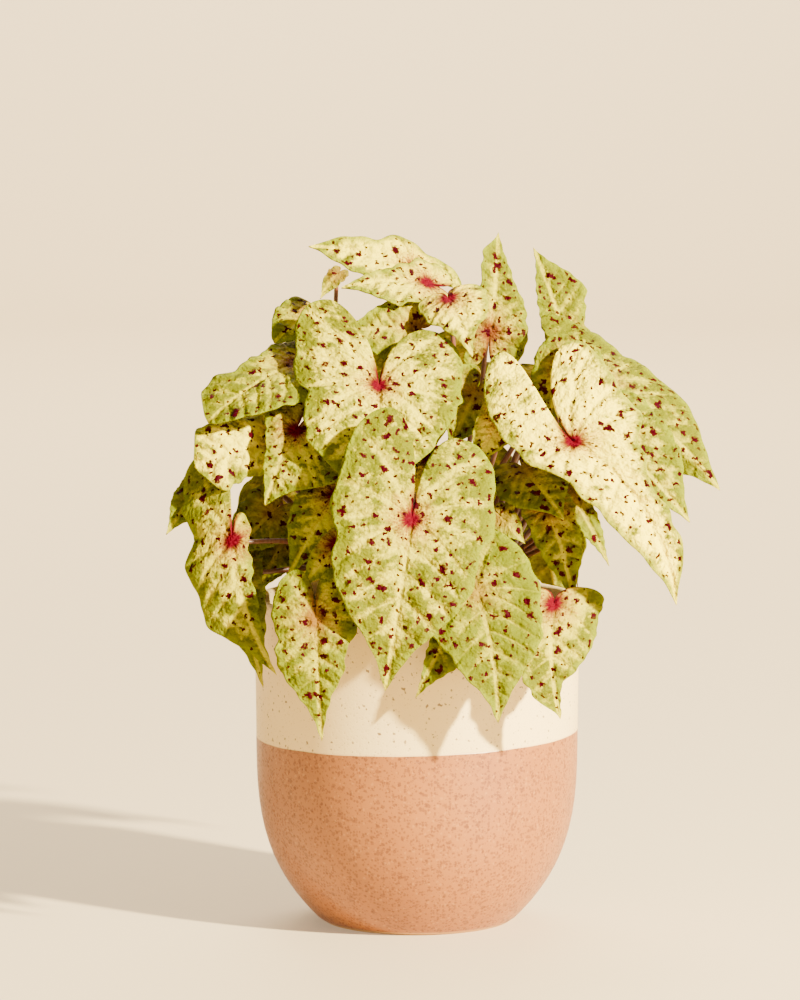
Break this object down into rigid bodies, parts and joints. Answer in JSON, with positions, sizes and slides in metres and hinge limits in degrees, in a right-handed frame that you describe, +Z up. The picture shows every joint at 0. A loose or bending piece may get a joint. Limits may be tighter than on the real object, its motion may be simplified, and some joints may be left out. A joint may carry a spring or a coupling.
{
  "type": "potted plant",
  "caption": "Bushy potted caladium with cream and green heart-shaped leaves, crimson along the veins, in a two-tone speckled ceramic cover pot.",
  "frame": {"origin": "centre of the cover pot's flat base, on the surface that it stands on", "axes": "+Z up along the pot's axis, -Y towards the side with the large hanging leaves, +X to the right seen from that side"},
  "size_m": [0.2602, 0.2225, 0.3282],
  "materials": {
    "pot_glaze": "speckled satin glaze",
    "grow_pot_plastic": "matte",
    "potting_soil": "rough crumbly",
    "petiole_skin": "waxy",
    "leaf_blade": "waxy translucent"
  },
  "bodies": {
    "root": {"grow_pot": "grow_pot_plastic", "leaf_01": "leaf_blade", "leaf_02": "leaf_blade", "leaf_03": "leaf_blade", "leaf_04": "leaf_blade", "leaf_05": "leaf_blade", "leaf_06": "leaf_blade", "leaf_07": "leaf_blade", "leaf_08": "leaf_blade", "leaf_09": "leaf_blade", "leaf_10": "leaf_blade", "leaf_11": "leaf_blade", "leaf_12": "leaf_blade", "leaf_13": "leaf_blade", "leaf_14": "leaf_blade", "leaf_15": "leaf_blade", "leaf_16": "leaf_blade", "leaf_17": "leaf_blade", "leaf_18": "leaf_blade", "leaf_19": "leaf_blade", "leaf_20": "leaf_blade", "leaf_21": "leaf_blade", "leaf_22": "leaf_blade", "leaf_23": "leaf_blade", "leaf_24": "leaf_blade", "leaf_25": "leaf_blade", "leaf_26": "leaf_blade", "leaf_27": "leaf_blade", "leaf_28": "leaf_blade", "leaf_29": "leaf_blade", "leaf_30": "leaf_blade", "leaf_31": "leaf_blade", "leaf_32": "leaf_blade", "leaf_33": "leaf_blade", "leaf_34": "leaf_blade", "leaf_35": "leaf_blade", "leaf_36": "leaf_blade", "leaf_37": "leaf_blade", "leaf_38": "leaf_blade", "leaf_39": "leaf_blade", "leaf_40": "leaf_blade", "leaf_41": "leaf_blade", "leaf_42": "leaf_blade", "leaf_43": "leaf_blade", "leaf_44": "leaf_blade", "leaf_45": "leaf_blade", "leaf_46": "leaf_blade", "pot": "pot_glaze", "soil": "potting_soil", "stems_back_left": "petiole_skin", "stems_back_right": "petiole_skin", "stems_front": "petiole_skin", "stems_left": "petiole_skin", "stems_right": "petiole_skin"}
  },
  "joints": []
}
